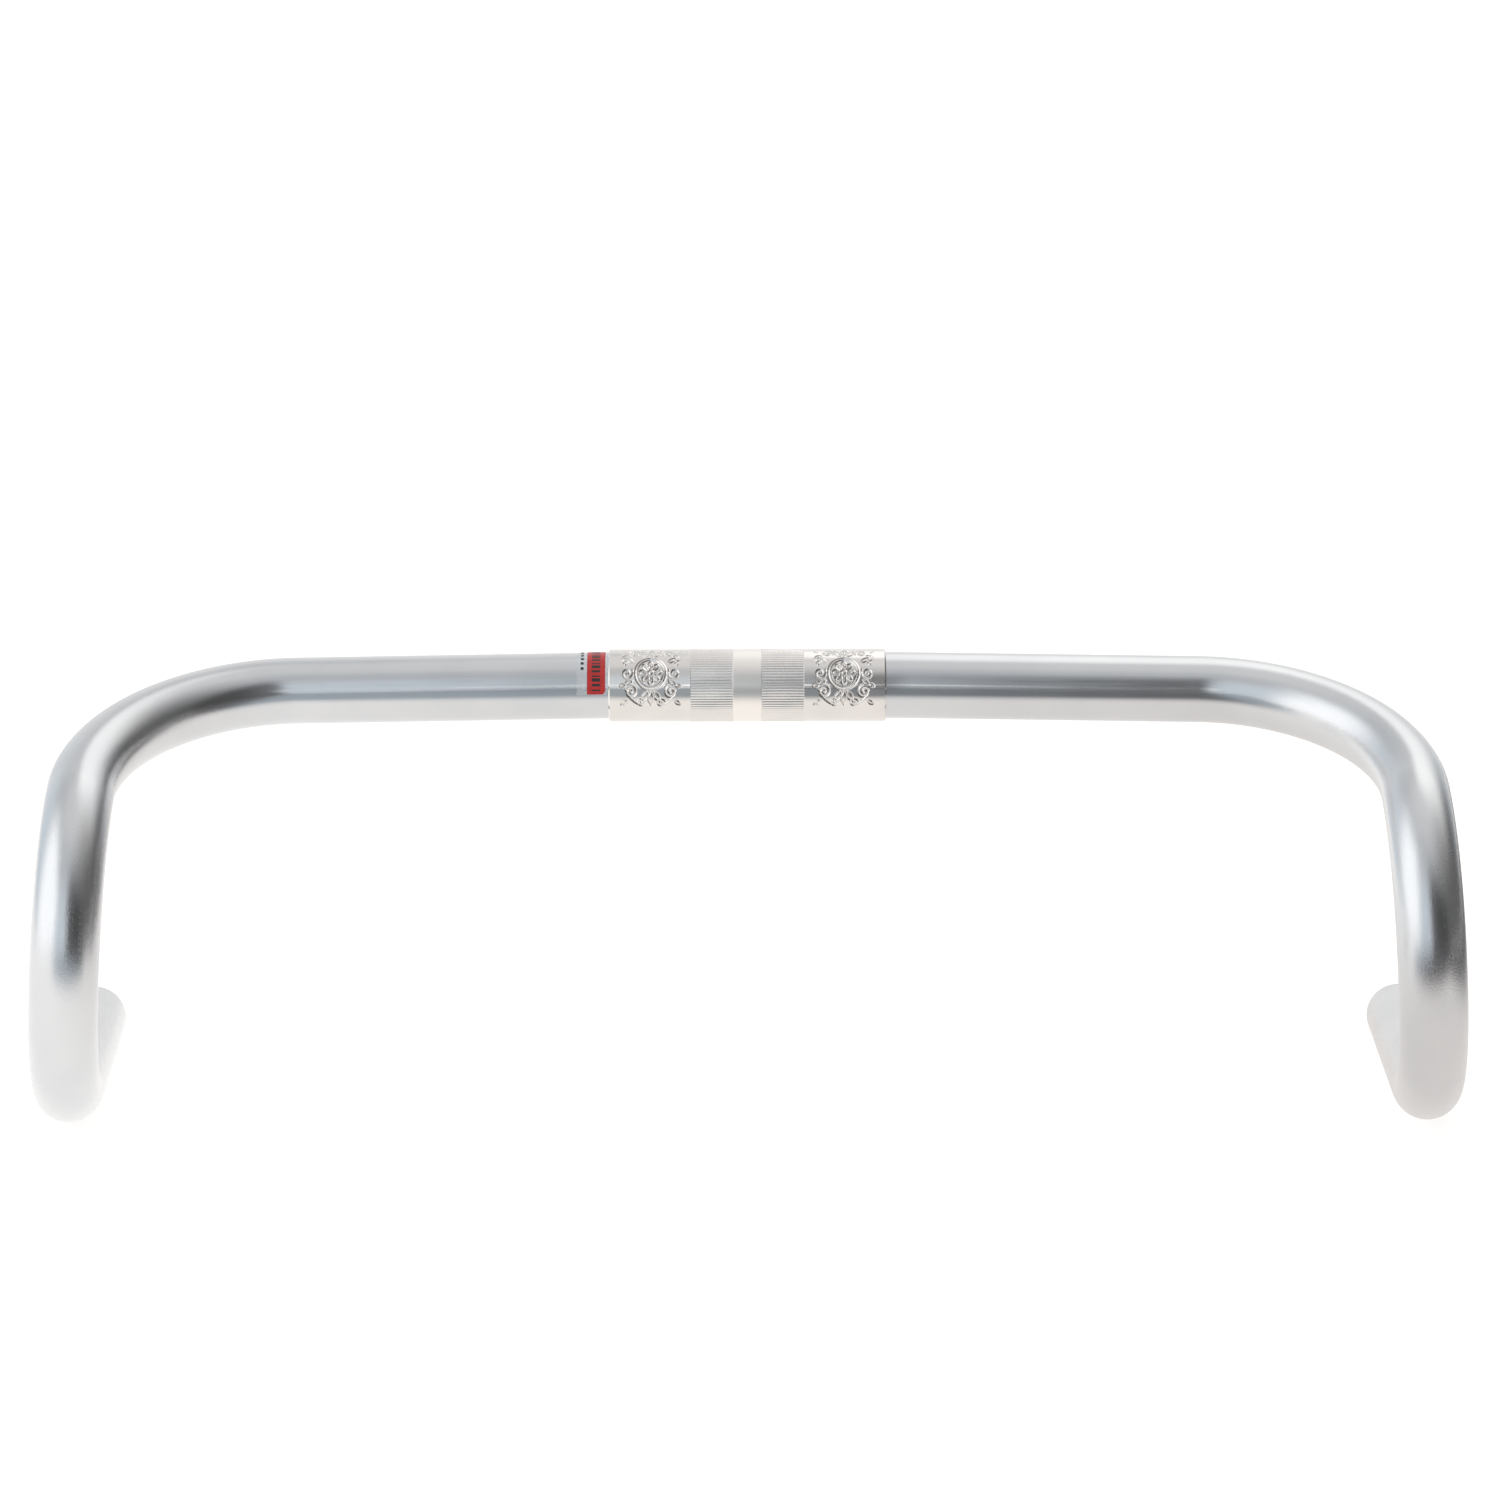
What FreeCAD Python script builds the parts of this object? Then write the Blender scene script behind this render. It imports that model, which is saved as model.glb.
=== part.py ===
import FreeCAD, Part
import math
import os

# Drop handlebar: one bent tube, a pressed-on centre sleeve and a wrap-round size label.
# Millimetres. +X along the bar to the rider's left, +Y towards the rider, +Z up.
# The origin is the centre of the stem's clamp zone, on the tube's axis.

os.makedirs("parts", exist_ok=True)

V = FreeCAD.Vector

# tube
TUBE_OD = 23.8
TUBE_WALL = 1.5
MOUTH_CHAMFER = 0.4

# centre sleeve
SLEEVE_OD = 26.0
SLEEVE_LENGTH = 99.4
SLEEVE_CHAMFER = 0.5
KNURL_START = 5.2
KNURL_END = 20.2
KNURL_GROOVES = 76
KNURL_GROOVE_WIDTH = 0.44
KNURL_GROOVE_DEPTH = 0.18

# size label on the tube beside the sleeve, on the rider's right
FILM_THICKNESS = 0.10
FILM_INNER_X = 49.8
FILM_OUTER_X = 61.0
BAND_THICKNESS = 0.08
BAND_INNER_X = 50.8
BAND_OUTER_X = 57.3
LABEL_LOWER_EDGE = -9.0
LABEL_WRAP = 245.0

# centreline of one half of the bar, from the clamp centre outwards
CLAMP_HALF = 50.0
SWEEP_ANGLE = 1.7
SWEEP_RADIUS = 300.0
TOP_LENGTH = 102.5
SHOULDER_SHARE = 0.45
SHOULDER_RADIUS = 76.0
RAMP_RADIUS = 68.0
RAMP_SLOPE = 23.5
RAMP_LENGTH = 2.0
HOOK_FLARE = 3.2
HOOK_TOP_RADIUS = 58.0
HOOK_FRONT_RADIUS = 47.0
HOOK_LOWER_RADIUS = 75.0
DROP_FLARE = 2.9
DROP_LENGTH = 128.0

TUBE_R = TUBE_OD / 2
BORE_R = TUBE_R - TUBE_WALL
SLEEVE_R = SLEEVE_OD / 2


def level_direction(forward, rise):
    """Unit vector in the fore-and-aft plane; rise in degrees."""
    slope = math.radians(rise)
    return V(0, -forward * math.cos(slope), math.sin(slope))


def flared_down(angle):
    """Unit vector pointing down and outwards by the angle in degrees."""
    flare = math.radians(angle)
    return V(math.sin(flare), 0, -math.cos(flare))


def flared_back(angle):
    """Unit vector pointing back to the rider and outwards by the angle in degrees."""
    flare = math.radians(angle)
    return V(math.sin(flare), math.cos(flare), 0)


class Centreline:
    """Straight runs and circular bends, each tangent to the one before."""

    def __init__(self):
        self.point = V(0, 0, 0)
        self.heading = V(1, 0, 0)
        self.runs = []

    def straight(self, length):
        self.runs.append(("straight", self.heading * length))
        self.point = self.point + self.heading * length

    def bend(self, target, share, radius):
        """Turn by a share of the angle to the target direction."""
        axis = self.heading.cross(target)
        axis.normalize()
        angle = math.degrees(self.heading.getAngle(target)) * share
        centre = self.point + axis.cross(self.heading) * radius
        turn = FreeCAD.Rotation(axis, angle)
        self.runs.append(("bend", centre, axis, angle))
        self.point = centre + turn.multVec(self.point - centre)
        self.heading = turn.multVec(self.heading)


def half_bar():
    line = Centreline()
    ramp = level_direction(1, -RAMP_SLOPE)
    line.straight(CLAMP_HALF)
    to_ramp = math.degrees(line.heading.getAngle(ramp))
    line.bend(ramp, SWEEP_ANGLE / to_ramp, SWEEP_RADIUS)
    line.straight(TOP_LENGTH)
    line.bend(ramp, SHOULDER_SHARE, SHOULDER_RADIUS)
    line.bend(ramp, 1.0, RAMP_RADIUS)
    line.straight(RAMP_LENGTH)
    line.bend(flared_down(HOOK_FLARE), 1.0, HOOK_TOP_RADIUS)
    line.bend(flared_back(DROP_FLARE), 0.5, HOOK_FRONT_RADIUS)
    line.bend(flared_back(DROP_FLARE), 1.0, HOOK_LOWER_RADIUS)
    line.straight(DROP_LENGTH)
    return line


def ring(outer, inner):
    """Flat ring at the origin, facing along the bar."""
    disc = Part.Face(Part.Wire(Part.makeCircle(outer, V(0, 0, 0), V(1, 0, 0))))
    hole = Part.Face(Part.Wire(Part.makeCircle(inner, V(0, 0, 0), V(1, 0, 0))))
    return disc.cut(hole).Faces[0]


def swept(profile, runs):
    """One solid for each run of the centreline that the profile is carried along."""
    solids = []
    for run in runs:
        if run[0] == "straight":
            solids.append(profile.extrude(run[1]))
            profile = profile.translated(run[1])
        else:
            centre, axis, angle = run[1:]
            solids.append(profile.revolve(centre, axis, angle))
            profile = profile.rotated(centre, axis, angle)
    return solids


def both_sides(solids):
    """One solid from the runs on the rider's left and their mirror images."""
    mirrored = [s.mirror(V(0, 0, 0), V(1, 0, 0)) for s in solids]
    joined = solids[0].multiFuse(solids[1:] + mirrored)
    return joined.removeSplitter().Solids[0]


def mouth_edges(solid, centre):
    found = []
    for edge in solid.Edges:
        if not isinstance(edge.Curve, Part.Circle):
            continue
        if edge.Curve.Center.distanceToPoint(centre) < 0.01:
            found.append(edge)
    return found


def sector(x_low, x_high, start, wrap):
    """Thick wedge about the X axis; start is measured up from the front, in degrees."""
    low = level_direction(1, start) * (TUBE_R - 3)
    high = level_direction(1, start) * (TUBE_R + 8)
    corners = [
        V(x_low, low.y, low.z),
        V(x_high, low.y, low.z),
        V(x_high, high.y, high.z),
        V(x_low, high.y, high.z),
        V(x_low, low.y, low.z),
    ]
    face = Part.Face(Part.makePolygon(corners))
    return face.revolve(V(0, 0, 0), V(-1, 0, 0), wrap)


def knurl_groove(x_low):
    """Cutter for one V groove along the top of the sleeve."""
    lift = 0.1
    half = KNURL_GROOVE_WIDTH / 2 * (KNURL_GROOVE_DEPTH + lift) / KNURL_GROOVE_DEPTH
    corners = [
        V(x_low, -half, SLEEVE_R + lift),
        V(x_low, half, SLEEVE_R + lift),
        V(x_low, 0, SLEEVE_R - KNURL_GROOVE_DEPTH),
        V(x_low, -half, SLEEVE_R + lift),
    ]
    face = Part.Face(Part.makePolygon(corners))
    return face.extrude(V(KNURL_END - KNURL_START, 0, 0))


def make_tube():
    line = half_bar()
    tube = both_sides(swept(ring(TUBE_R, BORE_R), line.runs))
    left_mouth = line.point
    right_mouth = V(-left_mouth.x, left_mouth.y, left_mouth.z)
    edges = mouth_edges(tube, left_mouth) + mouth_edges(tube, right_mouth)
    return tube.makeChamfer(MOUTH_CHAMFER, edges)


def make_sleeve():
    half = SLEEVE_LENGTH / 2
    corners = [
        V(-half, 0, TUBE_R),
        V(half, 0, TUBE_R),
        V(half, 0, SLEEVE_R - SLEEVE_CHAMFER),
        V(half - SLEEVE_CHAMFER, 0, SLEEVE_R),
        V(-half + SLEEVE_CHAMFER, 0, SLEEVE_R),
        V(-half, 0, SLEEVE_R - SLEEVE_CHAMFER),
        V(-half, 0, TUBE_R),
    ]
    section = Part.Face(Part.makePolygon(corners))
    sleeve = section.revolve(V(0, 0, 0), V(1, 0, 0), 360)
    grooves = []
    for x_low in (KNURL_START, -KNURL_END):
        groove = knurl_groove(x_low)
        for k in range(KNURL_GROOVES):
            angle = 360.0 * k / KNURL_GROOVES
            grooves.append(groove.rotated(V(0, 0, 0), V(1, 0, 0), angle))
    return sleeve.cut(Part.makeCompound(grooves)).Solids[0]


def make_label_layer(inner, outer, inner_x, outer_x):
    """One layer of the label, following the tube on the rider's right."""
    runs = half_bar().runs[:3]
    solids = swept(ring(outer, inner), runs)
    side = solids[0].multiFuse(solids[1:]).removeSplitter()
    side = side.mirror(V(0, 0, 0), V(1, 0, 0))
    wedge = sector(-outer_x, -inner_x, LABEL_LOWER_EDGE, LABEL_WRAP)
    return side.common(wedge).Solids[0]


film_r = TUBE_R + FILM_THICKNESS
band_r = film_r + BAND_THICKNESS

nodes = {
    "bar_tube": make_tube(),
    "centre_sleeve": make_sleeve(),
    "label_film": make_label_layer(TUBE_R, film_r, FILM_INNER_X, FILM_OUTER_X),
    "label_band": make_label_layer(film_r, band_r, BAND_INNER_X, BAND_OUTER_X),
}

for name, shape in nodes.items():
    shape.exportStep("parts/" + name + ".step")
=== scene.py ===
import math

import bpy
import numpy as np
from mathutils import Matrix, Vector


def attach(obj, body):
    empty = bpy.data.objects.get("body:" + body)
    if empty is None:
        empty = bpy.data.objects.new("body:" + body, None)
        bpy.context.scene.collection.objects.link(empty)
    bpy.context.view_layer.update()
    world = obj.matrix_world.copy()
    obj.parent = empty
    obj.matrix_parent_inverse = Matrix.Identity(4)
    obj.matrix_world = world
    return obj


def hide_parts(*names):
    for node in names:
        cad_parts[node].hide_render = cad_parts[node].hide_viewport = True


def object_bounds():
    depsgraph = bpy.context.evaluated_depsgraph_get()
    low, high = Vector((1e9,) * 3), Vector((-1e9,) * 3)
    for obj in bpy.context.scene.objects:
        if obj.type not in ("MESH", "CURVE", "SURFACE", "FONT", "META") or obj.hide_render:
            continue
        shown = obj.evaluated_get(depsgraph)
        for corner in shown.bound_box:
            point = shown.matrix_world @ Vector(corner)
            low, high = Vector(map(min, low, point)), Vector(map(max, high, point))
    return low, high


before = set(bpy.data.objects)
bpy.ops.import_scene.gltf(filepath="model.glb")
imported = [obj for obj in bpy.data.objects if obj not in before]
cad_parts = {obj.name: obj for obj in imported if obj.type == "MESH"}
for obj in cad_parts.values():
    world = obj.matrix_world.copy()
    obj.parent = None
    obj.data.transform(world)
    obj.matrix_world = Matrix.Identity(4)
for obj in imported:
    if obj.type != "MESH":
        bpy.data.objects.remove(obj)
cad_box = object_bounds()

MM = 0.001

# ---------------------------------------------------------------- sizes, in millimetres and degrees
TUBE_R = 11.9
BORE_R = 10.4
MOUTH_CHAMFER = 0.4
CLAMP_HALF = 50.0
SWEEP_ANGLE = 1.7
SWEEP_RADIUS = 300.0
SWEEP_STEP = 2.0
TOP_LENGTH = 102.5
SHOULDER_SHARE = 0.45
SHOULDER_RADIUS = 76.0
RAMP_RADIUS = 68.0
RAMP_SLOPE = 23.5
RAMP_LENGTH = 2.0
HOOK_FLARE = 3.2
HOOK_TOP_RADIUS = 58.0
HOOK_FRONT_RADIUS = 47.0
HOOK_FRONT_SHARE = 0.5
HOOK_LOWER_RADIUS = 75.0
DROP_FLARE = 2.9
DROP_LENGTH = 128.0
SATIN_START = 155.0
SATIN_RUN = 70.0
OUTER_COUNT = 96
INNER_COUNT = 48

SLEEVE_R = 13.0
SLEEVE_HALF = 49.7
SLEEVE_CHAMFER = 0.5
KNURL_START = 5.2
KNURL_END = 20.2
KNURL_GROOVES = 76
KNURL_WIDTH = 0.78  # wider than in the CAD, to catch the light
KNURL_DEPTH = 0.18
KNURL_RUNOUT = 0.15
POLISH_MARGIN = 0.6
BAND_MARGIN = 1.0
ORNAMENT_MARGIN = 0.3
BORE_GAP = 0.005


# ---------------------------------------------------------------- the bar's centreline
def turned(vector, axis, angle):
    return Matrix.Rotation(angle, 3, axis) @ vector


class Centreline:
    """Samples along straight runs and bends: point, tangent, ring normal, length so far."""

    def __init__(self):
        self.point = Vector((0, 0, 0))
        self.tangent = Vector((1, 0, 0))
        self.side = Vector((0, 0, 1))
        self.length = 0.0
        self.samples = []
        self.keep()

    def keep(self):
        self.samples.append((self.point.copy(), self.tangent.copy(), self.side.copy(), self.length))

    def straight(self, length, step):
        count = max(int(math.ceil(length / step)), 1)
        for _ in range(count):
            self.point = self.point + self.tangent * (length / count)
            self.length += length / count
            self.keep()

    def bend(self, target, share, radius, step):
        """Turn by a share of the angle to the target direction, on a circle."""
        axis = self.tangent.cross(target).normalized()
        angle = self.tangent.angle(target) * share
        centre = self.point + axis.cross(self.tangent) * radius
        count = max(int(math.ceil(angle * radius / step)), 1)
        for _ in range(count):
            self.point = centre + turned(self.point - centre, axis, angle / count)
            self.tangent = turned(self.tangent, axis, angle / count).normalized()
            self.side = turned(self.side, axis, angle / count).normalized()
            self.length += angle * radius / count
            self.keep()


def half_bar(straight_step=6.0, bend_step=1.25):
    """Samples of the bar's +X half, from the middle to the end."""
    line = Centreline()
    slope = math.radians(RAMP_SLOPE)
    ramp = Vector((0, -math.cos(slope), -math.sin(slope)))
    hook = math.radians(HOOK_FLARE)
    down = Vector((math.sin(hook), 0, -math.cos(hook)))
    drop = math.radians(DROP_FLARE)
    back = Vector((math.sin(drop), math.cos(drop), 0))
    line.straight(CLAMP_HALF, straight_step)
    sweep_share = math.radians(SWEEP_ANGLE) / line.tangent.angle(ramp)
    line.bend(ramp, sweep_share, SWEEP_RADIUS, SWEEP_STEP)
    line.straight(TOP_LENGTH, straight_step)
    line.bend(ramp, SHOULDER_SHARE, SHOULDER_RADIUS, bend_step)
    line.bend(ramp, 1.0, RAMP_RADIUS, bend_step)
    line.straight(RAMP_LENGTH, straight_step)
    line.bend(down, 1.0, HOOK_TOP_RADIUS, bend_step)
    line.bend(back, HOOK_FRONT_SHARE, HOOK_FRONT_RADIUS, bend_step)
    line.bend(back, 1.0, HOOK_LOWER_RADIUS, bend_step)
    line.straight(DROP_LENGTH, straight_step)
    return line.samples


# ---------------------------------------------------------------- mesh helpers
def new_piece(name, verts, faces, material, sharp, vectors=None, floats=None):
    """A mesh object in metres from millimetre points, with optional point attributes."""
    mesh = bpy.data.meshes.new(name)
    mesh.from_pydata([tuple(MM * c for c in v) for v in verts], [], faces)
    mesh.validate()
    mesh.update()
    mesh.shade_smooth()
    mesh.set_sharp_from_angle(angle=math.radians(sharp))
    for key, values in (vectors or {}).items():
        layer = mesh.attributes.new(key, "FLOAT_VECTOR", "POINT")
        layer.data.foreach_set("vector", np.asarray(values, dtype=np.float32).ravel())
    for key, values in (floats or {}).items():
        layer = mesh.attributes.new(key, "FLOAT", "POINT")
        layer.data.foreach_set("value", np.asarray(values, dtype=np.float32).ravel())
    mesh.materials.append(material)
    piece = bpy.data.objects.new(name, mesh)
    bpy.context.collection.objects.link(piece)
    return piece


def quads_between(a, b, count):
    """Faces joining two closed rings of equal count; a and b are their first indices."""
    return [(a + k, a + (k + 1) % count, b + (k + 1) % count, b + k) for k in range(count)]


def zipper(a, angles_a, b, angles_b):
    """Triangles joining two closed rings of unequal count, each sorted by angle."""
    na = len(angles_a)
    nb = len(angles_b)
    faces = []
    i = 0
    j = 0
    turn = 2 * math.pi
    while i < na or j < nb:
        next_a = angles_a[(i + 1) % na] + turn * ((i + 1) // na)
        next_b = angles_b[(j + 1) % nb] + turn * ((j + 1) // nb)
        if j >= nb or (i < na and next_a <= next_b):
            faces.append((a + i % na, a + (i + 1) % na, b + j % nb))
            i += 1
        else:
            faces.append((a + i % na, b + (j + 1) % nb, b + j % nb))
            j += 1
    return faces


# ---------------------------------------------------------------- material helpers
class Nodes:
    """Short calls for building a node tree."""

    def __init__(self, tree):
        self.tree = tree
        tree.nodes.clear()

    def add(self, kind, inputs=None, **settings):
        node = self.tree.nodes.new(kind)
        for key, value in settings.items():
            setattr(node, key, value)
        for key, value in (inputs or {}).items():
            self.set(node, key, value)
        return node

    def set(self, node, key, value):
        socket = node.inputs[key]
        if isinstance(value, bpy.types.NodeSocket):
            self.tree.links.new(value, socket)
        else:
            socket.default_value = value

    def math(self, operation, a, b=0.0, clamp=False):
        node = self.add("ShaderNodeMath", {0: a, 1: b}, operation=operation, use_clamp=clamp)
        return node.outputs[0]

    def ramp_value(self, value, low, high, out_low, out_high, smooth=True):
        kind = "SMOOTHSTEP" if smooth else "LINEAR"
        node = self.add(
            "ShaderNodeMapRange",
            {"Value": value, "From Min": low, "From Max": high, "To Min": out_low, "To Max": out_high},
            interpolation_type=kind,
        )
        return node.outputs["Result"]

    def noise(self, vector, scale, detail=3.0, roughness=0.5):
        node = self.add(
            "ShaderNodeTexNoise",
            {"Vector": vector, "Scale": scale, "Detail": detail, "Roughness": roughness},
        )
        return node.outputs["Fac"]

    def window(self, value, rise, fall):
        """1 between the rise and the fall, and 0 outside them."""
        up = self.ramp_value(value, *rise, 0.0, 1.0)
        down = self.ramp_value(value, *fall, 1.0, 0.0)
        return self.math("MULTIPLY", up, down)

    def stretched(self, vector, by):
        node = self.add("ShaderNodeVectorMath", {0: vector, 1: by}, operation="MULTIPLY")
        return node.outputs[0]

    def mix(self, factor, a, b):
        node = self.add("ShaderNodeMix", data_type="RGBA")
        self.set(node, 0, factor)
        self.set(node, 6, a)
        self.set(node, 7, b)
        return node.outputs[2]

    def colours(self, value, stops):
        """A colour ramp; each stop is its place and its colour."""
        node = self.add("ShaderNodeValToRGB", {"Fac": value})
        ramp = node.color_ramp
        while len(ramp.elements) > 1:
            ramp.elements.remove(ramp.elements[-1])
        ramp.elements[0].position = stops[0][0]
        ramp.elements[0].color = (*stops[0][1], 1)
        for place, colour in stops[1:]:
            ramp.elements.new(place).color = (*colour, 1)
        return node.outputs["Color"]


def metal_attributes(n):
    """The grain's place and the dullness that the meshes carry."""
    grain = n.add("ShaderNodeAttribute", attribute_name="grain").outputs["Vector"]
    satin = n.add("ShaderNodeAttribute", attribute_name="satin").outputs["Fac"]
    return grain, satin


def new_material(name):
    material = bpy.data.materials.new(name)
    material.use_nodes = True
    return material, Nodes(material.node_tree)


def finish_material(nodes, inputs):
    shader = nodes.add("ShaderNodeBsdfPrincipled", inputs)
    output = nodes.add("ShaderNodeOutputMaterial")
    nodes.tree.links.new(shader.outputs[0], output.inputs[0])


# ---------------------------------------------------------------- materials
METAL = (0.665, 0.668, 0.675, 1)
METAL_DARK = (0.63, 0.635, 0.645, 1)
POLISHED = (0.78, 0.745, 0.715, 1)
POLISHED_DARK = (0.74, 0.71, 0.68, 1)
# lighter than the polished metal: a painted highlight for the broad sheen on the matte middle band
MATTE_BAND_PAINTED_HIGHLIGHT = (0.88, 0.835, 0.79, 1)
FILM_LIGHT = (0.90, 0.92, 0.94, 1)
FILM_DARK = (0.84, 0.87, 0.90, 1)
DRAWN_LINES = (0.02, 1.0, 1.0)
TURNED_LINES = (1.0, 0.05, 0.05)


def tube_material():
    """Satin anodised aluminium: drawn lines on the straights, fine grain on the bends."""
    material, n = new_material("anodised_tube")
    grain, satin = metal_attributes(n)
    lines = n.noise(n.stretched(grain, DRAWN_LINES), 2.2, 4.0, 0.6)
    specks = n.noise(grain, 1.9, 3.0, 0.65)
    clouds = n.noise(grain, 0.035, 3.0, 0.55)
    tone = n.ramp_value(clouds, 0.3, 0.7, 0.0, 1.0)
    colour = n.mix(tone, METAL, METAL_DARK)
    rough_base = n.ramp_value(satin, 0.0, 1.0, 0.165, 0.19)
    rough_line = n.ramp_value(lines, 0.3, 0.7, -0.02, 0.03)
    rough_speck = n.math("MULTIPLY", n.ramp_value(specks, 0.35, 0.65, -0.05, 0.06), satin)
    rough = n.math("ADD", n.math("ADD", rough_base, rough_line), rough_speck, clamp=True)
    grit = n.math("MULTIPLY", n.math("MULTIPLY", specks, satin), 4.0)
    height = n.math("ADD", n.math("MULTIPLY", lines, 0.30), grit)
    bump = n.add("ShaderNodeBump", {"Strength": 0.16, "Distance": 0.0001, "Height": height})
    finish_material(n, {
        "Base Color": colour, "Metallic": 1.0, "Roughness": rough, "Normal": bump.outputs[0],
    })
    return material


def sleeve_material():
    """Polished aluminium at the ends, matter in the middle band and the engraving's floor; the middle
    band's lighter colour is a painted highlight.
    """
    material, n = new_material("polished_sleeve")
    grain, satin = metal_attributes(n)
    lines = n.noise(n.stretched(grain, TURNED_LINES), 3.5, 3.0, 0.6)
    specks = n.noise(grain, 2.4, 3.0, 0.6)
    tone = n.ramp_value(n.noise(grain, 0.08, 2.0), 0.3, 0.7, 0.0, 1.0)
    bright = n.mix(tone, POLISHED, POLISHED_DARK)
    # painted highlight: the matte middle band gets a lighter colour in place of the lamp's broad sheen
    colour = n.mix(n.ramp_value(satin, 0.45, 0.9, 0.0, 1.0), bright, MATTE_BAND_PAINTED_HIGHLIGHT)
    rough = n.math(
        "ADD",
        n.ramp_value(satin, 0.0, 1.0, 0.07, 0.30, smooth=False),
        n.ramp_value(n.math("MULTIPLY", lines, specks), 0.1, 0.4, -0.01, 0.04),
        clamp=True,
    )
    grit = n.math("MULTIPLY", n.math("MULTIPLY", specks, satin), 2.5)
    height = n.math("ADD", n.math("MULTIPLY", specks, lines), grit)
    bump = n.add("ShaderNodeBump", {"Strength": 0.12, "Distance": 0.00006, "Height": height})
    finish_material(n, {
        "Base Color": colour, "Metallic": 1.0, "Roughness": rough, "Normal": bump.outputs[0],
    })
    return material


def film_material():
    """Clear film with a little haze in it."""
    material, n = new_material("clear_film")
    place = n.add("ShaderNodeTexCoord").outputs["Object"]
    haze = n.noise(place, 900.0, 3.0, 0.6)
    finish_material(n, {
        "Base Color": n.mix(n.ramp_value(haze, 0.3, 0.7, 0.0, 1.0), FILM_LIGHT, FILM_DARK),
        "Roughness": n.ramp_value(haze, 0.3, 0.7, 0.10, 0.2),
        "Alpha": n.ramp_value(haze, 0.3, 0.7, 0.10, 0.18),
    })
    return material


def print_material(name, light, dark, rough):
    """Glossy printed ink, a little uneven."""
    material, n = new_material(name)
    place = n.add("ShaderNodeTexCoord").outputs["Object"]
    patches = n.noise(place, 700.0, 4.0, 0.6)
    colour = n.mix(n.ramp_value(patches, 0.35, 0.65, 0.0, 1.0), light, dark)
    bump = n.add("ShaderNodeBump", {"Strength": 0.1, "Distance": 0.00002, "Height": patches})
    finish_material(n, {
        "Base Color": colour, "Roughness": n.ramp_value(patches, 0.3, 0.7, rough, rough + 0.12),
        "Normal": bump.outputs[0],
    })
    return material


# ---------------------------------------------------------------- the bent tube
def ring_points(sample, radius, count):
    point, tangent, side, _ = sample
    other = tangent.cross(side)
    return [
        point + (side * math.cos(t) + other * math.sin(t)) * radius
        for t in (2 * math.pi * k / count for k in range(count))
    ]


def mirrored_samples(samples):
    """The other half, from its end up to the middle, without the shared middle sample."""
    flip = []
    for point, tangent, side, length in reversed(samples[1:]):
        flip.append((
            Vector((-point.x, point.y, point.z)),
            Vector((tangent.x, -tangent.y, -tangent.z)),
            Vector((-side.x, side.y, side.z)),
            -length,
        ))
    return flip


def build_tube(material):
    samples = half_bar()
    samples = mirrored_samples(samples) + samples
    verts = []
    grain = []
    satin = []
    faces = []
    total = samples[-1][3]

    def ring(sample, radius, count, shift=0.0):
        point, tangent, side, length = sample
        start = len(verts)
        moved = (point + tangent * shift, tangent, side, length)
        for k, p in enumerate(ring_points(moved, radius, count)):
            turn = 2 * math.pi * k / count
            verts.append(p)
            grain.append((length, radius * math.cos(turn), radius * math.sin(turn)))
            away = (abs(length) - SATIN_START) / SATIN_RUN
            satin.append(min(max(away, 0.0), 1.0))
        return start

    def wall(radius, mouth_radius, count):
        """Rings from end to end, with a chamfer at both mouths."""
        rings = [ring(samples[0], mouth_radius, count)]
        for sample in samples:
            at_end = abs(abs(sample[3]) - total) < 1e-6
            inwards = MOUTH_CHAMFER * (1 if sample[3] < 0 else -1) if at_end else 0.0
            rings.append(ring(sample, radius, count, inwards))
        rings.append(ring(samples[-1], mouth_radius, count))
        return rings

    outer = wall(TUBE_R, TUBE_R - MOUTH_CHAMFER, OUTER_COUNT)
    for a, b in zip(outer[:-1], outer[1:]):
        faces += quads_between(a, b, OUTER_COUNT)
    inner = wall(BORE_R, BORE_R + MOUTH_CHAMFER, INNER_COUNT)
    for a, b in zip(inner[:-1], inner[1:]):
        faces += [f[::-1] for f in quads_between(a, b, INNER_COUNT)]

    around_outer = [2 * math.pi * k / OUTER_COUNT for k in range(OUTER_COUNT)]
    around_inner = [2 * math.pi * k / INNER_COUNT for k in range(INNER_COUNT)]
    faces += zipper(inner[0], around_inner, outer[0], around_outer)
    faces += [f[::-1] for f in zipper(inner[-1], around_inner, outer[-1], around_outer)]
    return new_piece(
        "bar_tube_body", verts, faces, material, sharp=35,
        vectors={"grain": grain}, floats={"satin": satin},
    )


# ---------------------------------------------------------------- the sleeve's engraving
ENGRAVING_DEPTH = 0.34
CUT_REACH = 1.7  # how far a cut's slope reaches, in half widths of its stroke
CUT_CURVE = 0.8
SCROLL_WIND = 0.86
LEAF_TAPER = 0.35
PETAL_VALLEY = 0.42
PETAL_CURVE = 0.7
ORNAMENT_RISE = 1.0


def arc_points(cx, cy, radius, start, end, count=40):
    return [
        (cx + radius * math.cos(t), cy + radius * math.sin(t))
        for t in np.linspace(math.radians(start), math.radians(end), count)
    ]


def volute(cx, cy, radius, start, turns, hand, count=44):
    """A scroll that winds in to its centre."""
    points = []
    for t in np.linspace(0, 1, count):
        angle = math.radians(start) + hand * turns * 2 * math.pi * t
        r = radius * (1 - SCROLL_WIND * t)
        points.append((cx + r * math.cos(angle), cy + r * math.sin(angle)))
    return points


def leaf(x, y, length, width, angle, count=22):
    """Outline of a pointed leaf with its root at x, y."""
    c = math.cos(math.radians(angle))
    s = math.sin(math.radians(angle))
    edge = [
        (t * length, width * math.sin(math.pi * t) * (1 - LEAF_TAPER * t))
        for t in np.linspace(0, 1, count)
    ]
    loop = edge + [(a, -b) for a, b in reversed(edge)]
    return [(x + a * c - b * s, y + a * s + b * c) for a, b in loop]


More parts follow.
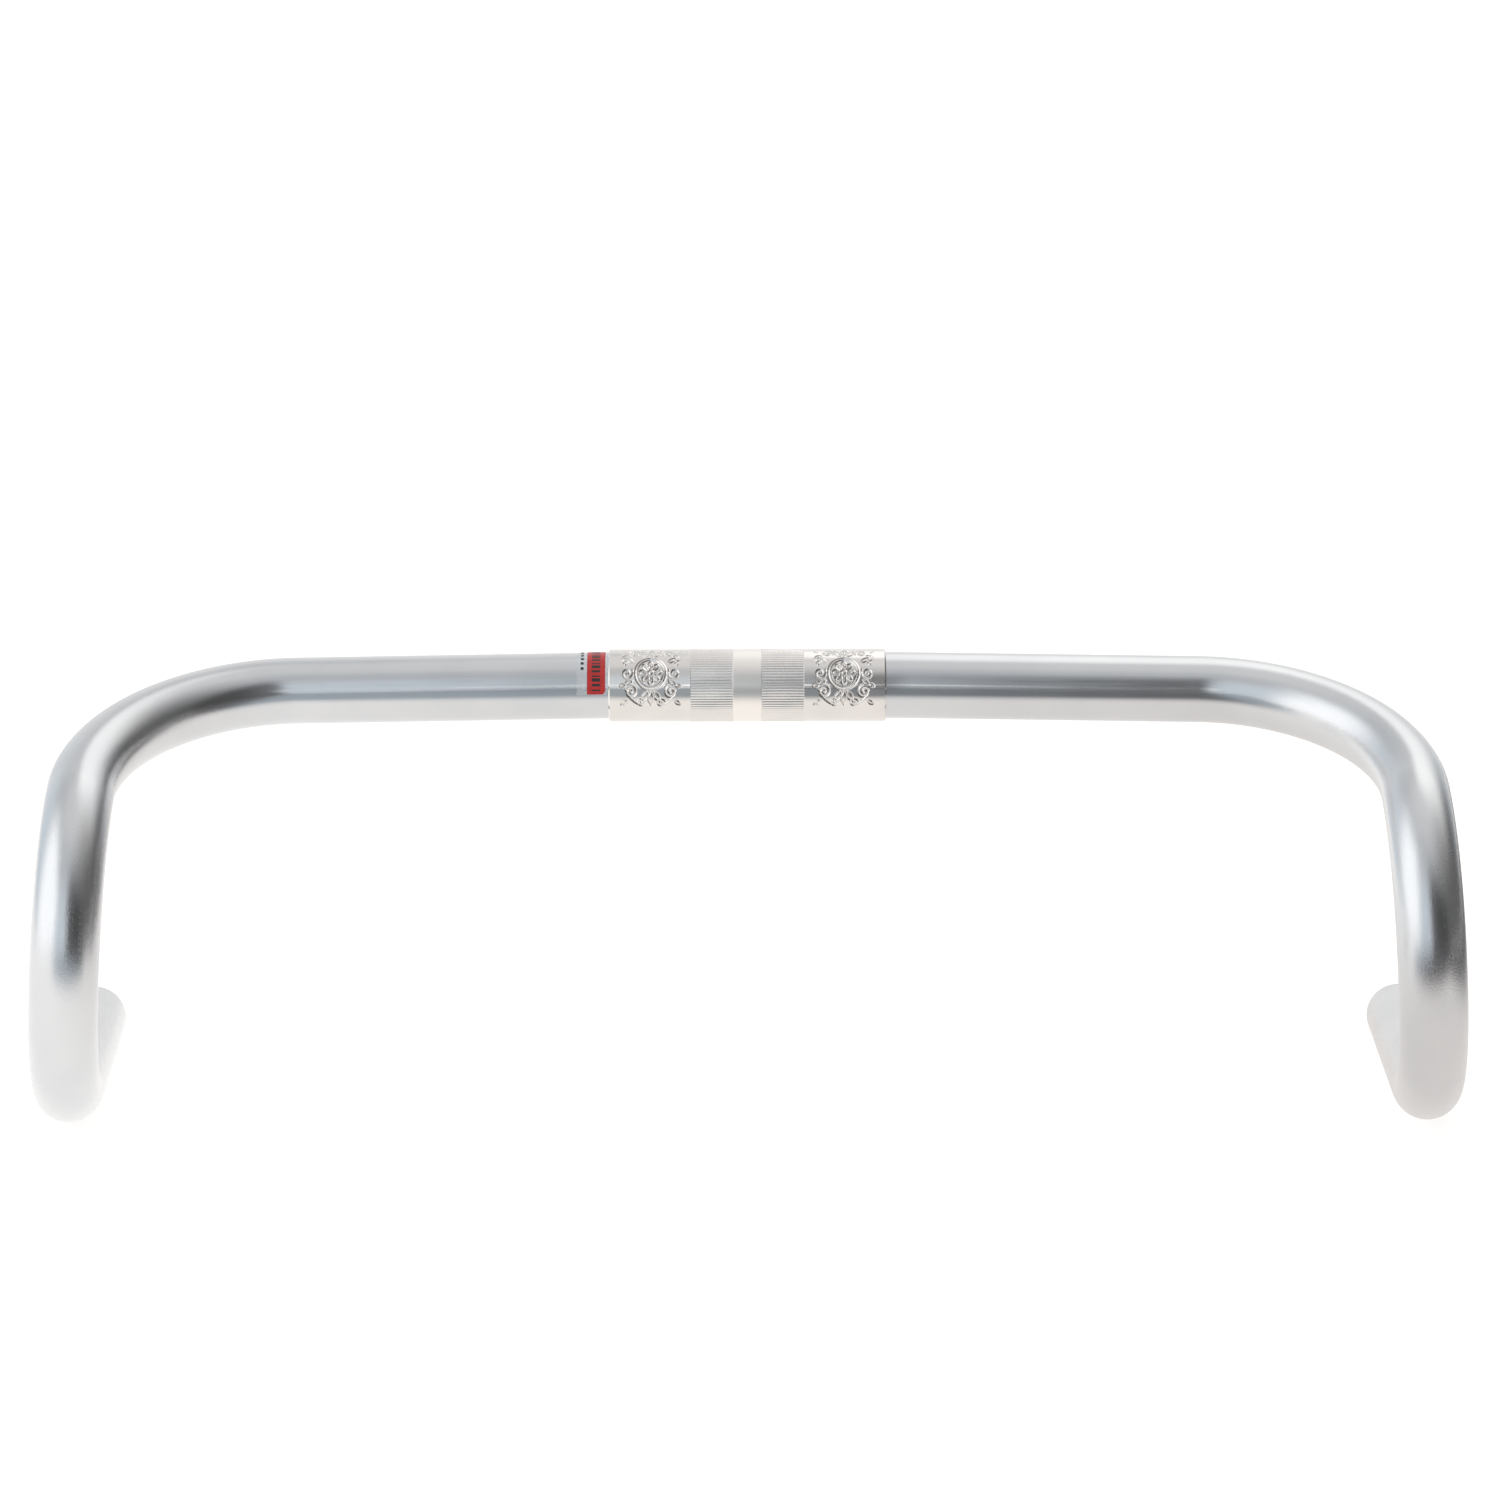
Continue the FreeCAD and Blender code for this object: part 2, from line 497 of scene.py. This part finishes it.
def rosette(radius, petals, count=240):
    points = []
    for t in np.linspace(0, 2 * math.pi, count):
        petal = abs(math.cos(petals * t / 2)) ** PETAL_CURVE
        r = radius * (PETAL_VALLEY + (1 - PETAL_VALLEY) * petal)
        points.append((r * math.cos(t), r * math.sin(t)))
    return points


def ornament_strokes():
    """A plain floral rosette with leaves and scrolls: (points, half width) for each cut."""
    cy = ORNAMENT_RISE
    strokes = [
        (arc_points(0, cy, 5.5, 0, 360, 90), 0.24),
        (arc_points(0, cy, 4.6, 0, 360, 80), 0.16),
        ([(x, y + cy) for x, y in rosette(3.9, 8)], 0.20),
        (arc_points(0, cy, 0.8, 0, 360, 24), 0.22),
    ]
    for k in range(8):
        t = math.radians(45 * k)
        spoke = [(r * math.cos(t), cy + r * math.sin(t)) for r in (1.3, 2.5)]
        strokes.append((spoke, 0.14))
    strokes.append((leaf(0, cy + 6.3, 4.6, 1.25, 90), 0.20))
    strokes.append(([(0, cy + 6.8), (0, cy + 9.6)], 0.12))
    strokes.append((leaf(0, cy - 6.3, 4.4, 1.2, -90), 0.20))
    for side in (-1, 1):
        def put(points, half):
            strokes.append(([(side * x, y) for x, y in points], half))

        put(leaf(1.3, cy + 6.2, 4.2, 1.0, 58), 0.20)
        put(leaf(1.2, cy - 6.2, 4.0, 1.0, -58), 0.20)
        put(volute(5.9, cy + 8.0, 2.1, 200, 1.35, -1), 0.22)
        put(volute(9.0, cy + 5.2, 1.7, 120, 1.25, -1), 0.20)
        put(volute(8.4, cy - 0.2, 2.2, 150, 1.4, 1), 0.22)
        put(volute(7.2, cy - 6.2, 2.4, 95, 1.4, 1), 0.24)
        put(volute(3.6, cy - 10.0, 1.7, 20, 1.3, 1), 0.22)
        put(leaf(6.3, cy + 3.6, 3.4, 0.85, 38), 0.18)
        put(leaf(9.3, cy + 2.4, 1.9, 0.6, 95), 0.18)
        put(leaf(6.5, cy - 2.6, 3.0, 0.8, -28), 0.18)
        put(leaf(8.8, cy - 4.0, 2.2, 0.6, -12), 0.18)
        put(leaf(8.6, cy - 9.2, 2.6, 0.7, -35), 0.18)
        put(arc_points(0, cy - 2.0, 9.6, -62, -22, 26), 0.18)
        put([(9.6, cy + 8.6), (10.6, cy + 9.4)], 0.2)
    return strokes


def distance_to_stroke(u, v, points):
    """Distance from each point (u, v) to the nearest part of a line of points."""
    best = np.full(u.shape, 1e9)
    for (ax, ay), (bx, by) in zip(points[:-1], points[1:]):
        dx = bx - ax
        dy = by - ay
        t = np.clip(((u - ax) * dx + (v - ay) * dy) / max(dx * dx + dy * dy, 1e-12), 0, 1)
        best = np.minimum(best, (u - ax - t * dx) ** 2 + (v - ay - t * dy) ** 2)
    return np.sqrt(best)


def engraved_depth(u, v):
    """How deep the ornament is cut at each point, in millimetres."""
    depth = np.zeros(u.shape)
    for points, half in ornament_strokes():
        d = distance_to_stroke(u, v, points)
        cut = np.clip(1 - d / (half * CUT_REACH), 0, 1)
        depth = np.maximum(depth, ENGRAVING_DEPTH * cut ** CUT_CURVE)
    return depth


# ---------------------------------------------------------------- the centre sleeve
ORNAMENT_X = 34.5
ORNAMENT_TURN = 23.0
ORNAMENT_HALF_X = 11.6
ORNAMENT_HALF_ARC = 14.6
ORNAMENT_STEP = 0.155
ORNAMENT_STRETCH = 1.12
ENGRAVING_DULLNESS = 0.6  # for each millimetre of depth
COARSE_COUNT = 66


def front_direction(turn):
    """Unit vector across the bar; turn is measured up from straight ahead."""
    return (0.0, -math.cos(turn), math.sin(turn))


def build_sleeve(material):
    verts = []
    grain = []
    satin = []
    faces = []

    def ring(x, turns, radii, dullness):
        start = len(verts)
        for k, turn in enumerate(turns):
            r = radii[k] if hasattr(radii, "__len__") else radii
            _, y, z = front_direction(turn)
            verts.append((x, y * r, z * r))
            grain.append((x, y * r, z * r))
            satin.append(dullness[k] if hasattr(dullness, "__len__") else dullness)
        return start

    pitch = 2 * math.pi / KNURL_GROOVES
    half_cut = KNURL_WIDTH / 2 / SLEEVE_R
    knurl_turns = []
    knurl_cut = []
    for k in range(KNURL_GROOVES):
        for offset, cut in ((0, KNURL_DEPTH), (half_cut, 0), (pitch / 2, 0), (pitch - half_cut, 0)):
            knurl_turns.append(k * pitch + offset)
            knurl_cut.append(cut)
    knurl_radii = [SLEEVE_R - cut for cut in knurl_cut]

    centre = math.radians(ORNAMENT_TURN)
    fine_half = ORNAMENT_HALF_ARC / SLEEVE_R
    fine_count = int(2 * ORNAMENT_HALF_ARC / ORNAMENT_STEP)
    fine = list(np.linspace(centre - fine_half, centre + fine_half, fine_count))
    coarse = np.linspace(centre + fine_half, centre - fine_half + 2 * math.pi, COARSE_COUNT)
    turns = sorted(t % (2 * math.pi) for t in fine + list(coarse)[1:-1])
    arc = (np.array(turns) - centre + math.pi) % (2 * math.pi) - math.pi
    arc = arc * SLEEVE_R

    # each row is x, the turns of its points, their radii, and how dull the metal is there
    rows = [
        (SLEEVE_HALF, turns, SLEEVE_R - SLEEVE_CHAMFER, 0.1),
        (SLEEVE_HALF - SLEEVE_CHAMFER, turns, SLEEVE_R, 0.05),
    ]
    ornament_outer = ORNAMENT_X + ORNAMENT_HALF_X
    ornament_inner = ORNAMENT_X - ORNAMENT_HALF_X
    plain_outer = SLEEVE_HALF - SLEEVE_CHAMFER - POLISH_MARGIN
    for x in np.linspace(plain_outer, ornament_outer + ORNAMENT_MARGIN, 4):
        rows.append((x, turns, SLEEVE_R, 0.0))
    steps = int(2 * ORNAMENT_HALF_X / ORNAMENT_STEP)
    for x in np.linspace(ornament_outer, ornament_inner, steps):
        depth = engraved_depth(np.full(arc.shape, x - ORNAMENT_X), arc / ORNAMENT_STRETCH)
        rows.append((x, turns, list(SLEEVE_R - depth), list(depth * ENGRAVING_DULLNESS)))
    rows += [
        (KNURL_END + POLISH_MARGIN, turns, SLEEVE_R, 0.0),
        (KNURL_END + KNURL_RUNOUT, knurl_turns, SLEEVE_R, 0.1),
        (KNURL_END, knurl_turns, knurl_radii, 0.2),
        ((KNURL_END + KNURL_START) / 2, knurl_turns, knurl_radii, 0.2),
        (KNURL_START, knurl_turns, knurl_radii, 0.3),
        (KNURL_START - KNURL_RUNOUT, knurl_turns, SLEEVE_R, 0.9),
        (KNURL_START - BAND_MARGIN, knurl_turns, SLEEVE_R, 1.0),
    ]
    rows = rows + [(-x, t, r, s) for x, t, r, s in reversed(rows)]

    starts = [ring(*row) for row in rows]
    for k in range(len(rows) - 1):
        if rows[k][1] is rows[k + 1][1]:
            faces += quads_between(starts[k], starts[k + 1], len(rows[k][1]))
        else:
            faces += zipper(starts[k], rows[k][1], starts[k + 1], rows[k + 1][1])
    bore = [ring(x, turns, TUBE_R + BORE_GAP, 0.2) for x in (SLEEVE_HALF, -SLEEVE_HALF)]
    faces += quads_between(bore[0], starts[0], len(turns))
    faces += quads_between(starts[-1], bore[1], len(turns))
    faces += quads_between(bore[1], bore[0], len(turns))
    return new_piece(
        "sleeve_body", verts, faces, material, sharp=28,
        vectors={"grain": grain}, floats={"satin": satin},
    )


# ---------------------------------------------------------------- the label
# A layer is its reach along the bar in millimetres, its reach round the bar in degrees up
# from the front, and its two heights above the tube in millimetres.
FILM_LAYER = ((49.8, 61.0), (-9.0, 236.0), (0.01, 0.10))
FILM_CORNER = 1.2
BAND_LAYER = ((50.8, 57.3), (-8.0, 235.5), (0.11, 0.17))
BAND_CORNER = 1.4
BAR_COUNT = 29
BAR_ALONG = (52.6, 55.6)
BAR_HEIGHTS = (0.168, 0.178)
BAR_START = -2.0
BAR_PITCH = 8.1
BAR_WIDTH = 2.4
BAR_WIDENING = 1.6
DASH_COUNT = 18
DASH_ALONG = (58.5, 59.6)
DASH_HEIGHTS = (0.10, 0.108)
DASH_START = 36.0
DASH_PITCH = 11.0
DASH_WIDTH = 5.0
WRAP_STEP_ALONG = 0.35
WRAP_STEP_ROUND = 2.5
LABEL_REACH = 80.0
LABEL_SAMPLES = [s for s in half_bar(1.0, 1.0) if s[3] < LABEL_REACH]


def on_tube(x, turn, radius):
    """Point x to the -X side of the middle, at a turn up from the front, off the axis."""
    for a, b in zip(LABEL_SAMPLES[:-1], LABEL_SAMPLES[1:]):
        if b[0].x >= x:
            t = (x - a[0].x) / (b[0].x - a[0].x)
            point = a[0].lerp(b[0], t)
            break
    _, y, z = front_direction(turn)
    return (-x, point.y + y * radius, point.z + z * radius)


def build_wrap(name, material, along, around, heights, corner=0.0):
    """A thin closed patch on the tube; its lower corner by the sleeve can be rounded off."""
    x_low, x_high = along
    turn_low, turn_high = around
    columns = max(int((x_high - x_low) / WRAP_STEP_ALONG), 2)
    rows = max(int((turn_high - turn_low) / WRAP_STEP_ROUND), 1)
    verts = []
    for radius in (TUBE_R + height for height in heights):
        for i in range(columns + 1):
            x = x_low + (x_high - x_low) * i / columns
            lift = 0.0
            if corner > 0 and x - x_low < corner:
                inside = corner - (x - x_low)
                lift = corner - math.sqrt(max(corner ** 2 - inside ** 2, 0.0))
            start = math.radians(turn_low) + lift / TUBE_R
            end = math.radians(turn_high)
            for j in range(rows + 1):
                verts.append(on_tube(x, start + (end - start) * j / rows, radius))
    faces = []
    stride = rows + 1
    layer = (columns + 1) * stride
    for i in range(columns):
        for j in range(rows):
            a = i * stride + j
            faces.append((a, a + stride, a + stride + 1, a + 1))
            b = a + layer
            faces.append((b, b + 1, b + stride + 1, b + stride))
    for i in range(columns):
        for j in (0, rows):
            a = i * stride + j
            face = (a, a + stride, a + stride + layer, a + layer)
            faces.append(face[::-1] if j == 0 else face)
    for j in range(rows):
        for i in (0, columns):
            a = i * stride + j
            face = (a, a + layer, a + layer + 1, a + 1)
            faces.append(face[::-1] if i == 0 else face)
    return new_piece(name, verts, faces, material, sharp=40)


# ---------------------------------------------------------------- build the pieces
tube_metal = tube_material()
sleeve_metal = sleeve_material()
clear = film_material()
red = print_material("red_print", (0.46, 0.016, 0.013, 1), (0.38, 0.011, 0.010, 1), 0.22)
black = print_material("black_print", (0.012, 0.012, 0.013, 1), (0.022, 0.02, 0.02, 1), 0.35)

tube = build_tube(tube_metal)
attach(tube, "root")
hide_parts("bar_tube")

sleeve = build_sleeve(sleeve_metal)
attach(sleeve, "root")
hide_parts("centre_sleeve")

film = build_wrap("label_film_wrap", clear, *FILM_LAYER, corner=FILM_CORNER)
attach(film, "root")
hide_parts("label_film")

band = build_wrap("label_band_wrap", red, *BAND_LAYER, corner=BAND_CORNER)
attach(band, "root")
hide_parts("label_band")

# plain bars stand in for the label's printing
for k in range(BAR_COUNT):
    low = BAR_START + BAR_PITCH * k
    around = (low, low + BAR_WIDTH + BAR_WIDENING * (k % 3))
    mark = build_wrap("band_bar_%02d" % k, black, BAR_ALONG, around, BAR_HEIGHTS)
    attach(mark, "root")
for k in range(DASH_COUNT):
    low = DASH_START + DASH_PITCH * k
    around = (low, low + DASH_WIDTH)
    mark = build_wrap("film_dash_%02d" % k, black, DASH_ALONG, around, DASH_HEIGHTS)
    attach(mark, "root")


# ---------------------------------------------------------------- camera
def place_camera():
    pitch = math.radians(7.99)
    yaw = math.radians(0.26)
    roll = math.radians(-0.07)
    distance = 1.95
    target = Vector((0.0010, 0.0, -0.0235))
    level = math.cos(pitch)
    look = Vector((math.sin(yaw) * level, math.cos(yaw) * level, -math.sin(pitch)))
    right = look.cross(Vector((0, 0, 1))).normalized()
    up = right.cross(look)
    right_rolled = right * math.cos(roll) + up * math.sin(roll)
    up_rolled = up * math.cos(roll) - right * math.sin(roll)
    data = bpy.data.cameras.new("camera")
    data.lens = 129.92
    data.sensor_width = 36.0
    data.clip_start = 0.05
    data.clip_end = 100.0
    camera = bpy.data.objects.new("camera", data)
    camera.matrix_world = Matrix.Translation(target - look * distance) @ Matrix((
        (right_rolled.x, up_rolled.x, -look.x, 0),
        (right_rolled.y, up_rolled.y, -look.y, 0),
        (right_rolled.z, up_rolled.z, -look.z, 0),
        (0, 0, 0, 1),
    ))
    bpy.context.collection.objects.link(camera)
    bpy.context.scene.camera = camera


# ---------------------------------------------------------------- studio
FLOOR_Z = cad_box[0][2]
FLOOR_GLOW = 0.86
FLOOR_RADIUS = 30
FLOOR_CORNERS = 96
ROOM_RAYS = (1.1, 1.1, 1.1, 1)  # the backdrop's white, for the camera only


def flat_card(name, corners, material):
    """One flat face of the studio, not of the part."""
    mesh = bpy.data.meshes.new(name)
    mesh.from_pydata(corners, [], [tuple(range(len(corners)))])
    mesh.materials.append(material)
    card = bpy.data.objects.new(name, mesh)
    bpy.context.collection.objects.link(card)
    return card


def build_floor():
    material, n = new_material("pale_floor")
    place = n.add("ShaderNodeTexCoord").outputs["Object"]
    mottle = n.noise(place, 3.0, 3.0)
    colour = n.mix(mottle, (0.27, 0.265, 0.255, 1), (0.25, 0.245, 0.235, 1))
    finish_material(n, {
        "Base Color": colour, "Roughness": 0.9, "Specular IOR Level": 0.0,
        "Emission Color": (1.02, 1.00, 0.985, 1), "Emission Strength": FLOOR_GLOW,
    })
    corners = [
        (FLOOR_RADIUS * math.cos(t), FLOOR_RADIUS * math.sin(t), FLOOR_Z)
        for t in (2 * math.pi * k / FLOOR_CORNERS for k in range(FLOOR_CORNERS))
    ]
    return flat_card("floor", corners, material)


def build_world():
    """White to the camera; to reflections, a sky with a softbox left and a dark right side."""
    world = bpy.data.worlds.new("studio")
    bpy.context.scene.world = world
    world.use_nodes = True
    n = Nodes(world.node_tree)
    direction = n.add("ShaderNodeTexCoord").outputs["Generated"]
    parts = n.add("ShaderNodeSeparateXYZ", {0: direction})
    x, y, z = parts.outputs
    in_degrees = 180 / math.pi
    towards_camera = n.math("MULTIPLY", y, -1.0)
    azimuth = n.math("MULTIPLY", n.math("ARCTAN2", x, towards_camera), in_degrees)
    elevation = n.math("MULTIPLY", n.math("ARCSINE", z), in_degrees)
    height = n.math("ADD", n.math("DIVIDE", elevation, 180.0), 0.5)

    def at(degrees):
        return degrees / 180.0 + 0.5

    left = n.colours(height, [
        (at(-30), (0.62, 0.66, 0.70)),
        (at(-4), (0.72, 0.79, 0.85)),
        (at(12), (0.79, 0.87, 0.94)),
        (at(30), (0.77, 0.84, 0.90)),
        (at(45), (0.66, 0.69, 0.72)),
        (at(57), (0.66, 0.68, 0.70)),
        (at(72), (0.82, 0.83, 0.84)),
        (at(90), (0.86, 0.86, 0.87)),
    ])
    right = n.colours(height, [
        (at(-30), (0.22, 0.22, 0.22)),
        (at(0), (0.15, 0.15, 0.15)),
        (at(24), (0.17, 0.17, 0.17)),
        (at(40), (0.34, 0.34, 0.34)),
        (at(57), (0.62, 0.62, 0.62)),
        (at(72), (0.86, 0.86, 0.86)),
        (at(90), (0.86, 0.86, 0.87)),
    ])
    box = (1.44, 1.46, 1.48, 1)
    behind = (0.96, 0.96, 0.96, 1)
    overhead = (1.38, 1.38, 1.37, 1)
    box_side = n.window(azimuth, (-122.0, -88.0), (-64.0, -30.0))
    box_height = n.window(elevation, (-25.0, 8.0), (36.0, 66.0))
    side = n.window(azimuth, (12.0, 52.0), (112.0, 178.0))
    colour = n.mix(side, left, right)
    colour = n.mix(n.math("MULTIPLY", box_side, box_height), colour, box)
    back = n.ramp_value(n.math("ABSOLUTE", azimuth), 125.0, 170.0, 0.0, 1.0)
    low = n.ramp_value(elevation, 30.0, 70.0, 1.0, 0.0)
    colour = n.mix(n.math("MULTIPLY", back, low), colour, behind)
    lobe_side = n.ramp_value(azimuth, 70.0, 145.0, 0.0, 1.0)
    lobe_height = n.window(elevation, (22.0, 50.0), (66.0, 86.0))
    lobe = n.math("MULTIPLY", lobe_side, lobe_height)
    colour = n.mix(lobe, colour, overhead)
    camera_ray = n.add("ShaderNodeLightPath").outputs["Is Camera Ray"]
    colour = n.mix(camera_ray, colour, ROOM_RAYS)
    background = n.add("ShaderNodeBackground", {"Color": colour, "Strength": 1.0})
    output = n.add("ShaderNodeOutputWorld")
    n.tree.links.new(background.outputs[0], output.inputs[0])


def reflected_card(name, corners, colour_of):
    """A glowing card that only the metal mirrors; colour_of gives its colour and its cover."""
    material, n = new_material(name)
    place = n.add("ShaderNodeTexCoord").outputs["Object"]
    colour, cover = colour_of(n, *n.add("ShaderNodeSeparateXYZ", {0: place}).outputs)
    glow = n.add("ShaderNodeEmission", {"Color": colour, "Strength": 1.0})
    gap = n.add("ShaderNodeBsdfTransparent")
    blend = n.add("ShaderNodeMixShader", {0: cover})
    n.tree.links.new(gap.outputs[0], blend.inputs[1])
    n.tree.links.new(glow.outputs[0], blend.inputs[2])
    output = n.add("ShaderNodeOutputMaterial")
    n.tree.links.new(blend.outputs[0], output.inputs[0])
    card = flat_card(name, corners, material)
    card.visible_camera = False
    card.visible_diffuse = False
    card.visible_shadow = False
    card.visible_transmission = False


def near_room(n, x, y, z):
    """The table, brighter on the softbox's side, and the unlit floor past its edges."""
    lit_left = (1.21, 1.20, 1.185, 1)
    lit_middle = (1.06, 1.04, 1.02, 1)
    lit_right = (0.92, 0.885, 0.86, 1)
    unlit_left = (0.45, 0.51, 0.56, 1)
    unlit_right = (0.16, 0.16, 0.165, 1)
    lit = n.mix(n.ramp_value(x, -0.32, -0.06, 0.0, 1.0), lit_left, lit_middle)
    lit = n.mix(n.ramp_value(x, -0.02, 0.24, 0.0, 1.0), lit, lit_right)
    unlit = n.mix(n.ramp_value(x, -0.12, 0.18, 0.0, 1.0), unlit_left, unlit_right)
    sideways = n.math("MAXIMUM", n.math("MULTIPLY", x, 0.24), n.math("MULTIPLY", x, -0.36))
    ahead = n.math("SUBTRACT", n.math("MULTIPLY", y, -1.0), sideways)
    front = n.ramp_value(ahead, 0.12, 0.32, 0.0, 1.0)
    aside = n.math("ADD", x, n.math("MULTIPLY", y, -0.55))
    front = n.math("MULTIPLY", front, n.ramp_value(aside, -0.38, 0.02, 0.0, 1.0))
    right = n.ramp_value(x, 0.34, 0.66, 0.0, 1.0)
    return n.mix(n.math("MAXIMUM", front, right), lit, unlit), 1.0


def far_room(n, x, y, z):
    """The dark right half of the room behind the camera."""
    near = (0.165, 0.165, 0.17, 1)
    far = (0.09, 0.09, 0.09, 1)
    high = (0.34, 0.34, 0.34, 1)
    base = n.mix(n.ramp_value(x, 0.3, 1.1, 0.0, 1.0), near, far)
    colour = n.mix(n.ramp_value(z, 1.0, 2.4, 0.0, 1.0), base, high)
    across = n.ramp_value(x, -0.06, 0.15, 0.0, 1.0)
    up = n.ramp_value(z, 1.4, 3.3, 1.0, 0.0)
    return colour, n.math("MULTIPLY", across, up)


def lamp(n, x, y, z):
    """A small lamp beside the camera, for the thin bright line along the metal."""
    across = n.ramp_value(n.math("ABSOLUTE", x), 0.06, 0.10, 1.0, 0.0)
    return (1.5, 1.5, 1.48, 1), across


def softbox(n, x, y, z):
    """The near end of the softbox on the left."""
    along = n.ramp_value(y, -1.40, -1.05, 0.0, 1.0)
    up = n.window(z, (-0.1, 0.08), (0.55, 1.0))
    return (1.46, 1.48, 1.50, 1), n.math("MULTIPLY", along, up)


def facing_card(xs, y, zs):
    """Corners of an upright card that faces the bar's front."""
    return [(xs[0], y, zs[0]), (xs[1], y, zs[0]), (xs[1], y, zs[1]), (xs[0], y, zs[1])]


def build_cards():
    z = FLOOR_Z + 0.001
    ground = [(-4, -6, z), (4, -6, z), (4, 2.5, z), (-4, 2.5, z)]
    left_end = [(-0.9, -1.4, -0.1), (-0.9, -0.1, -0.1), (-0.9, -0.1, 1), (-0.9, -1.4, 1)]
    reflected_card("near_room", ground, near_room)
    reflected_card("far_room", facing_card((-0.1, 3.2), -2.2, (z, 3.3)), far_room)
    reflected_card("lamp", facing_card((-0.1, 0.1), -1.98, (0.20, 0.34)), lamp)
    reflected_card("softbox", left_end, softbox)


def build_sun():
    """Even light for the floor and the label; the metal doesn't mirror it."""
    data = bpy.data.lights.new("overhead", "SUN")
    data.energy = 0.9
    data.angle = math.radians(120)
    light = bpy.data.objects.new("overhead", data)
    light.rotation_euler = (math.radians(-8), math.radians(-14), 0)
    light.visible_glossy = False
    light.visible_camera = False
    bpy.context.collection.objects.link(light)


build_floor()
build_world()
build_cards()
build_sun()
place_camera()
bpy.context.scene.view_settings.view_transform = "Standard"
